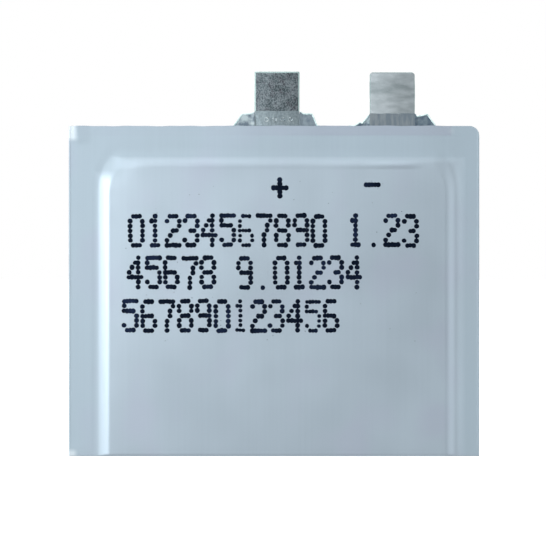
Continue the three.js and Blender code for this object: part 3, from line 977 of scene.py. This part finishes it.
def laminate_material():
    """Satin nylon over aluminium: cool grey, with fine drawn streaks and faint clouds, and painted
    highlights at the creased left corners and the end of the seal band.
    """
    n = Nodes("nylon_film")
    clouds = n.noise((0.16, 0.16, 0.13))
    streaks = n.noise((4.5, 4.5, 0.06))
    fine = n.noise((9.0, 9.0, 0.5))
    grain = n.noise(14.0)
    shade = n.spans(n.mixed(clouds, streaks, 0.8), 0.38, 0.62)
    cool = n.blend(shade, (0.408, 0.488, 0.558), (0.436, 0.52, 0.592))
    violet = n.spans(n.noise((0.3, 0.3, 0.22), detail=1.0), 0.52, 0.72, 0.0, 0.5)
    panel = n.blend(violet, cool, (0.425, 0.47, 0.57))
    seal = n.seal_share()
    sealed = n.blend(n.product(seal, SEAL_GREYNESS), panel, (0.38, 0.44, 0.43))
    band = n.patch((OUTSIDE_LEFT, SEAL_BAND_END_X), (SEAL_BAND_Z, OUTSIDE_ABOVE), 0.06)
    band_strength = n.along("X", -5, 3, 0.1, 0.5)
    banded = n.blend(n.product(band, band_strength), sealed, (0.39, 0.42, 0.5))
    # Painted highlights: the end of the seal band and the two creased left corners are made
    # lighter, standing for the light they catch
    band_end_highlight = n.product(n.patch(BAND_END_HIGHLIGHT_X, BAND_END_HIGHLIGHT_Z, 0.16), 0.4)
    top_crease_highlight = n.patch(CREASE_HIGHLIGHT_X, CREASE_HIGHLIGHT_TOP, 0.14)
    low_crease_highlight = n.patch(CREASE_HIGHLIGHT_X, CREASE_HIGHLIGHT_BOTTOM, 0.14)
    painted_highlight = n.math("ADD", band_end_highlight, n.math("ADD", top_crease_highlight, low_crease_highlight))
    painted_highlight = n.product(painted_highlight, n.front_share(), 0.6)
    n.colour(n.blend(painted_highlight, banded, (0.72, 0.77, 0.8)))
    satin = n.spans(clouds, 0.35, 0.65, 0.38, 0.44)
    n.roughness(n.math("ADD", satin, n.product(seal, SEAL_DULLNESS)))
    waved = n.bump(streaks, 0.0007, 0.5)
    scored = n.bump(fine, 0.0016, 0.5, waved)
    n.normal(n.bump(grain, 0.0012, 0.5, scored))
    n.set(Metallic=0.8, Coat_Weight=0.25, Coat_Roughness=0.3)
    return n.material


def ink_material():
    """Near-black blue ink, thinner and paler in places."""
    n = Nodes("printed_ink")
    pale = n.spans(n.noise(0.45), 0.52, 0.75)
    speckle = n.spans(n.noise(9.0), 0.35, 0.7)
    deep = n.blend(speckle, (0.0008, 0.003, 0.009), (0.003, 0.007, 0.018))
    n.colour(n.blend(n.product(pale, 0.4), deep, (0.02, 0.035, 0.09)))
    n.roughness(n.spans(speckle, 0, 1, 0.5, 0.7))
    n.normal(n.bump(speckle, 0.003, 0.4))
    n.set(Specular_IOR_Level=0.03)
    return n.material


def aluminium_tab_material():
    """Pale drawn aluminium strip with a light speckle."""
    n = Nodes("aluminium_tab")
    drawn = n.noise((5.0, 5.0, 0.6), detail=3.0)
    speckle = n.noise(7.0, detail=3.0)
    tone = n.mixed(drawn, speckle, 0.4)
    n.colour(n.blend(n.spans(tone, 0.36, 0.64), (0.17, 0.215, 0.24), (0.3, 0.36, 0.385)))
    n.roughness(n.spans(speckle, 0.3, 0.7, 0.38, 0.55))
    n.normal(n.bump(tone, 0.01, 0.5))
    n.set(Metallic=0.85)
    return n.material


def nickel_extension_material():
    """Dull nickel strip, rough and mottled dark all over, with painted highlights in pale teal
    along its sides and upper end.
    """
    n = Nodes("nickel_extension")
    coarse = n.noise(1.6, turn=(0, 30, 0))
    mottle = n.noise((11.0, 11.0, 9.5), roughness=0.6)
    tone = n.mixed(coarse, mottle, 0.3)
    warm = n.spans(n.noise(3.0, detail=1.0), 0.45, 0.65, 0.0, 0.6)
    dark = n.blend(warm, (0.042, 0.06, 0.068), (0.062, 0.055, 0.07))
    face = n.blend(n.spans(tone, 0.4, 0.6), dark, (0.2, 0.235, 0.255))
    # Painted highlight: pale teal rims along the sides and upper end, standing for the light that
    # the cut edges catch
    n.colour(n.blend(n.rim_share("positive_tab_extension", 0.11, 0.9), face, (0.42, 0.55, 0.54)))
    n.roughness(n.spans(mottle, 0.3, 0.7, 0.45, 0.7))
    n.normal(n.bump(tone, 0.03, 0.8))
    n.set(Metallic=0.75)
    return n.material


def weld_material():
    """Fused metal, mottled from sooty dark to bright."""
    n = Nodes("weld_metal")
    mottle = n.noise(8.0, detail=3.0)
    n.colour(n.blend(n.spans(mottle, 0.35, 0.65), (0.1, 0.135, 0.155), (0.44, 0.5, 0.52)))
    n.roughness(n.spans(mottle, 0.3, 0.7, 0.32, 0.48))
    n.normal(n.bump(mottle, 0.006, 0.4))
    n.set(Metallic=0.9)
    return n.material


def nickel_tab_material():
    """Rolled nickel strip, satin, with faint ripples across it and painted teal lines of edge light
    and shade along its rims.
    """
    n = Nodes("nickel_tab")
    ripples = n.noise((0.22, 0.22, 0.6), turn=(0, 6, 0))
    scuffs = n.noise((1.1, 1.1, 2.6), detail=3.0, turn=(0, 25, 0))
    grain = n.noise(12.0)
    tone = n.mixed(ripples, scuffs, 0.7)
    face = n.blend(n.spans(tone, 0.38, 0.62), (0.28, 0.325, 0.342), (0.51, 0.56, 0.59))
    # Painted teal rim lines along the sides and upper end, standing for the light and shade at the
    # tab's edges
    n.colour(n.blend(n.rim_share("negative_tab", 0.07, 0.6), face, (0.24, 0.36, 0.35)))
    n.roughness(n.spans(scuffs, 0.3, 0.7, 0.34, 0.46))
    n.normal(n.bump(grain, 0.0015, 0.4, n.bump(ripples, 0.03, 0.4)))
    n.set(Metallic=0.85)
    return n.material


def tab_film_material(name, dark, pale, centre, over_tab):
    """Milky polypropylene film, thinly see-through, clouded where it has melted, with painted shade
    on its right wing.
    """
    n = Nodes(name)
    cloud = n.noise(2.2, detail=3.0)
    fine = n.noise(6.0)
    cloudy = n.spans(cloud, 0.38, 0.62)
    # Painted shade: the right wing keeps less of the pale clouding, so it is darker, as the light
    # falls off towards the right
    right_wing_shade = n.along("X", centre + TAB_HALF - 0.1, centre + TAB_HALF + 0.1, 1, 0.35)
    wing = n.blend(n.product(cloudy, right_wing_shade), dark, pale)
    middle = n.patch((centre - TAB_HALF, centre + TAB_HALF), (0, OUTSIDE_ABOVE), 0.02)
    drawn = n.spans(n.noise((4.0, 4.0, 0.9)), 0.4, 0.6, 0.0, 0.45)
    n.colour(n.blend(middle, wing, n.blend(drawn, over_tab, dark)))
    n.roughness(n.spans(fine, 0.3, 0.7, 0.46, 0.6))
    n.normal(n.bump(cloud, 0.01, 0.5, n.bump(fine, 0.004, 0.4)))
    n.set(Alpha=0.72, IOR=1.49, Specular_IOR_Level=0.3)
    return n.material


def film_rim_material():
    """The thickened rim of the melted film, pale partly as milky melted film and partly as a
    painted highlight where the bead catches the light.
    """
    n = Nodes("tab_film_rim")
    cloud = n.noise(3.0)
    fine = n.noise(9.0)
    n.colour(n.blend(n.spans(cloud, 0.4, 0.6), (0.36, 0.52, 0.52), (0.66, 0.8, 0.8)))
    n.roughness(n.spans(fine, 0.3, 0.7, 0.3, 0.45))
    n.normal(n.bump(fine, 0.006, 0.5))
    n.set(IOR=1.49)
    return n.material


def plain_metal(name, dark, pale, low, high):
    """Rolled foil with faint roll lines, for the foils inside."""
    n = Nodes(name)
    rolled = n.noise((3.5, 3.5, 0.15), detail=3.0)
    grain = n.noise(10.0)
    n.colour(n.blend(n.spans(rolled, 0.35, 0.65), dark, pale))
    n.roughness(n.spans(grain, 0.3, 0.7, low, high))
    n.normal(n.bump(rolled, 0.004, 0.4))
    n.set(Metallic=1.0)
    return n.material


def coated(name, dark, pale, metallic, low, high):
    """Powdery or papery layers: a fine grain with faint clouds."""
    n = Nodes(name)
    clouds = n.noise(0.4)
    grain = n.noise(16.0, detail=3.0, roughness=0.7)
    tone = n.mixed(clouds, grain, 0.5)
    n.colour(n.blend(n.spans(tone, 0.38, 0.62), dark, pale))
    n.roughness(n.spans(grain, 0.3, 0.7, low, high))
    n.normal(n.bump(grain, 0.003, 0.5))
    n.set(Metallic=metallic)
    return n.material


def tape_material(name, dark, pale):
    """Thin polyester tape with small creases and trapped air."""
    n = Nodes(name)
    creases = n.noise((0.8, 0.8, 2.2), detail=3.0)
    bubbles = n.cells(1.6)
    n.colour(n.blend(n.spans(creases, 0.36, 0.64), dark, pale))
    n.roughness(n.spans(bubbles, 0.1, 0.7, 0.22, 0.36))
    n.normal(n.bump(creases, 0.004, 0.5))
    n.set(Coat_Weight=0.4, Coat_Roughness=0.15)
    return n.material


def floor_material():
    """White card that glows faintly, so that it stays white behind the cell."""
    n = Nodes("floor_white")
    mist = n.noise(0.02)
    n.colour(n.blend(n.spans(mist, 0.3, 0.7), (0.9, 0.9, 0.9), (0.93, 0.93, 0.93)))
    n.set(Roughness=0.8, Emission_Color=(1, 1, 1, 1), Emission_Strength=0.8)
    return n.material


# ---------- studio

ROOM_COLOUR = (0.97, 0.99, 1.0, 1.0)
ROOM_DARK = 0.36

# Lighter parts of the room: their direction, where they start and end, and their strength
ROOM_GLOWS = [
    ((-0.8, -0.35, 0.4), 0.0, 0.7, 0.84),
    ((1, -0.6, 0), 0.75, 1.0, 1.1),
    ((0, -0.3, -1), 0.72, 1.0, 0.62),
    ((0, 1, 0.2), 0.0, 0.8, 0.6),
]

# Area lights: place, target, size in millimetres, power in watts and colour
LIGHTS = {
    "key": ((-58, -58, 34), (-6, 0, 12), (44, 56), 0.045, (0.97, 0.99, 1.0)),
    "left_strip": ((-120, -98, 30), (0, 0, 11), (24, 110), 0.012, (0.95, 0.98, 1.0)),
    "top": ((0, -70, 130), (0, 0, 15), (160, 40), 0.018, (1, 1, 1)),
    "back": ((60, 170, 120), (0, 0, 12), (120, 120), 0.12, (1, 1, 1)),
}
FLOOR_HALF_WIDTH = 2500


def add_glow(tree, direction, strength, side, start, end, extra):
    """Adds a soft lobe of light towards one side to the room's strength."""
    add, link = tree.nodes.new, tree.links.new
    lobe = add("ShaderNodeVectorMath")
    lobe.operation = "DOT_PRODUCT"
    link(direction, lobe.inputs[0])
    lobe.inputs[1].default_value = Vector(side).normalized()
    glow = add("ShaderNodeMapRange")
    glow.interpolation_type = "SMOOTHSTEP"
    link(lobe.outputs["Value"], glow.inputs["Value"])
    for socket, value in zip(glow.inputs[1:], (start, end, 0.0, extra)):
        socket.default_value = value
    total = add("ShaderNodeMath")
    link(strength, total.inputs[0])
    link(glow.outputs["Result"], total.inputs[1])
    return total.outputs["Value"]


def set_world():
    """A white backdrop, in a room that is lighter towards the upper left and the right."""
    world = bpy.data.worlds.new("studio")
    bpy.context.scene.world = world
    world.use_nodes = True
    tree = world.node_tree
    add, link = tree.nodes.new, tree.links.new
    backdrop = tree.nodes["Background"]
    backdrop.inputs["Color"].default_value = (1, 1, 1, 1)
    room = add("ShaderNodeBackground")
    room.inputs["Color"].default_value = ROOM_COLOUR
    direction = add("ShaderNodeTexCoord").outputs["Generated"]
    plain = add("ShaderNodeValue")
    plain.outputs["Value"].default_value = ROOM_DARK
    strength = plain.outputs["Value"]
    for glow in ROOM_GLOWS:
        strength = add_glow(tree, direction, strength, *glow)
    link(strength, room.inputs["Strength"])
    either = add("ShaderNodeMixShader")
    link(add("ShaderNodeLightPath").outputs["Is Camera Ray"], either.inputs["Fac"])
    link(room.outputs["Background"], either.inputs[1])
    link(backdrop.outputs["Background"], either.inputs[2])
    link(either.outputs["Shader"], tree.nodes["World Output"].inputs["Surface"])


def make_floor():
    """A white floor that only the camera sees, so that it throws no light on the cell."""
    half = FLOOR_HALF_WIDTH
    corners = [(-half, -half, 0), (half, -half, 0), (half, half, 0), (-half, half, 0)]
    floor = make_object("floor", corners, [(0, 1, 2, 3)], floor_material(), smooth=False)
    floor.visible_glossy = False
    floor.visible_diffuse = False


def softbox(name, place, target, size, watts, colour):
    """An area light at a place, in millimetres, aimed at a target and unseen by the camera."""
    data = bpy.data.lights.new(name, "AREA")
    data.shape = "RECTANGLE"
    data.size, data.size_y = (s * METRES for s in size)
    data.energy = watts
    data.color = colour
    lamp = bpy.data.objects.new(name, data)
    bpy.context.scene.collection.objects.link(lamp)
    lamp.location = Vector(place) * METRES
    lamp.rotation_mode = "QUATERNION"
    lamp.rotation_quaternion = (Vector(target) - Vector(place)).to_track_quat("-Z", "Y")
    lamp.visible_camera = False


CAMERA_LENS = 100
CAMERA_SENSOR = 36
VIEW_WIDTH = 36.35
VIEW_CENTRE = (-0.07, 12.21)


def make_camera():
    """Square on to the front face, level, as the photograph was taken."""
    data = bpy.data.cameras.new("camera")
    data.lens = CAMERA_LENS
    data.sensor_width = CAMERA_SENSOR
    distance = VIEW_WIDTH * CAMERA_LENS / CAMERA_SENSOR
    data.clip_start = METRES
    data.clip_end = 10
    camera = bpy.data.objects.new("camera", data)
    bpy.context.scene.collection.objects.link(camera)
    camera.location = Vector((VIEW_CENTRE[0], -distance, VIEW_CENTRE[1])) * METRES
    camera.rotation_euler = (math.radians(90), 0, 0)
    bpy.context.scene.camera = camera


# ---------- the cell


def build_pouch():
    """The three nested layers of the laminate."""
    foil = plain_metal("barrier_foil", (0.6, 0.62, 0.64), (0.8, 0.81, 0.82), 0.25, 0.38)
    sealant = coated("sealant_film", (0.6, 0.63, 0.65), (0.78, 0.8, 0.81), 0.0, 0.35, 0.5)
    looks = [("nylon_film", laminate_material()), ("barrier_foil", foil), ("sealant_film", sealant)]
    for node, (slot, material) in zip(LAYERS, looks):
        settle(build_laminate(node, material), node)


def build_tabs():
    """The two tabs, and the strip welded behind the positive one."""
    looks = [
        ("positive_tab", "aluminium_tab", aluminium_tab_material()),
        ("positive_tab_extension", "nickel_extension", nickel_extension_material()),
        ("negative_tab", "nickel_tab", nickel_tab_material()),
    ]
    for seed, (node, slot, material) in enumerate(looks, 21):
        settle(build_tab(node, seed, material), node)


def build_films():
    """Two films for each tab, and the rounded rims on their wings."""
    looks = {
        "positive": ((0.15, 0.2, 0.25), (0.46, 0.55, 0.58), (0.2, 0.25, 0.27)),
        # The negative film's colours are darker than the positive one's: painted shade, as the
        # light falls off towards the right
        "negative": ((0.085, 0.13, 0.18), (0.36, 0.45, 0.48), (0.235, 0.275, 0.3)),
    }
    rim_material = film_rim_material()
    seed = 31
    for pole, centre in (("positive", POSITIVE_X), ("negative", NEGATIVE_X)):
        dark, pale, over_tab = looks[pole]
        material = tab_film_material(pole + "_tab_film", dark, pale, centre, over_tab)
        for side in ("front", "rear"):
            node = f"{pole}_tab_film_{side}"
            piece = build_film(node, pole, centre, side == "front", seed, material)
            settle(piece, node)
            seed += 1
        for side in ("left", "right"):
            build_rim(f"{pole}_tab_film_rim_{side}", pole, centre, side, seed - 2, rim_material)


def build_welds():
    """The row of spot welds."""
    material = weld_material()
    for seed, node in enumerate(WELD_NODES, 41):
        settle(build_weld(node, seed, material), node)


def print_ink():
    """Three lines of counting digits, the marks of polarity and the stray droplets."""
    draw = random.Random(7)
    material = ink_material()
    for place, line in enumerate(PRINTED_LINES, 1):
        print_line(f"ink_line_{place}", *line, draw, material)
    for sign in PRINTED_SIGNS:
        print_sign(*sign, draw, material)
    print_specks("ink_specks", draw, material)


def finish_inner_pieces():
    """The pieces inside the pouch keep their CAD shapes and get detailed finishes."""
    copper = plain_metal("copper_foil", (0.5, 0.22, 0.11), (0.72, 0.36, 0.2), 0.28, 0.42)
    aluminium = plain_metal("cathode_foil", (0.62, 0.64, 0.66), (0.82, 0.83, 0.84), 0.25, 0.38)
    cathode = coated("cathode_coating", (0.02, 0.02, 0.024), (0.045, 0.045, 0.05), 0.0, 0.7, 0.9)
    anode = coated("anode_coating", (0.03, 0.031, 0.034), (0.075, 0.075, 0.08), 0.2, 0.6, 0.85)
    paper = coated("separator", (0.78, 0.79, 0.78), (0.9, 0.91, 0.9), 0.0, 0.6, 0.8)
    weld_tape = tape_material("weld_tape", (0.5, 0.33, 0.07), (0.7, 0.5, 0.14))
    stack_tape = tape_material("stack_tape", (0.04, 0.2, 0.09), (0.08, 0.32, 0.16))
    both_sides = {
        "anode_foil": copper,
        "cathode_coating": cathode,
        "anode_coating": anode,
        "separator": paper,
        "positive_weld_tape": weld_tape,
        "negative_weld_tape": weld_tape,
    }
    looks = {"cathode_foil": aluminium}
    for kind, material in both_sides.items():
        looks[kind + "_front"] = looks[kind + "_rear"] = material
    for side in ("left", "right", "bottom"):
        looks["stack_tape_" + side] = stack_tape
    for node, material in looks.items():
        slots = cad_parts[node].data.materials
        slots.clear()
        slots.append(material)


bpy.context.scene.view_settings.view_transform = "Standard"
build_pouch()
build_tabs()
build_films()
build_welds()
print_ink()
finish_inner_pieces()
set_world()
make_floor()
for light, settings in LIGHTS.items():
    softbox(light, *settings)
make_camera()
